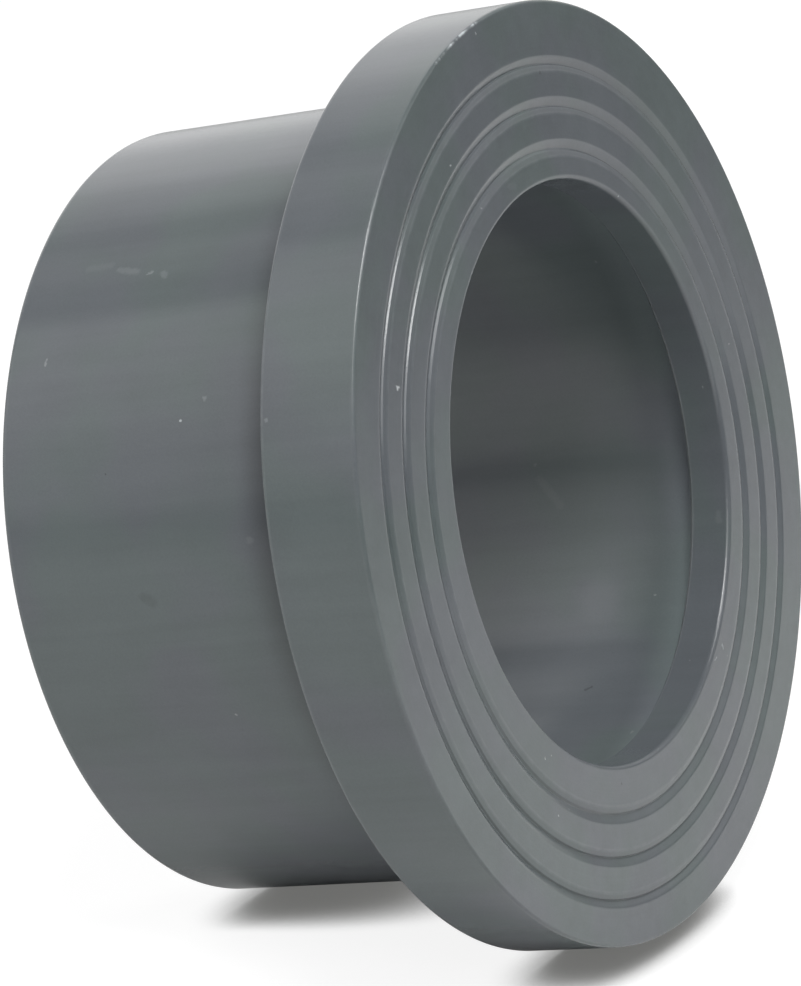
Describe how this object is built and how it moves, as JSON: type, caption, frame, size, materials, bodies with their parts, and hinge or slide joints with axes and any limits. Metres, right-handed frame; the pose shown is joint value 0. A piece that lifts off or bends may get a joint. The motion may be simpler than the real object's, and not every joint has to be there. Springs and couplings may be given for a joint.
{
  "type": "pvc socket flange",
  "caption": "Grey plastic stub flange: a plain pipe socket ending in a round collar, with concentric grooves in its flat sealing face.",
  "frame": {"origin": "centre of the socket's open end, in the plane of that end", "axes": "+Z along the common axis, from the socket's open end to the sealing face"},
  "size_m": [0.09, 0.09, 0.0425],
  "materials": {
    "grey_pvc": "moulded rigid PVC in slate grey, semi-gloss, lightly scuffed"
  },
  "bodies": {
    "root": {"stub_flange": "grey_pvc"}
  },
  "joints": []
}
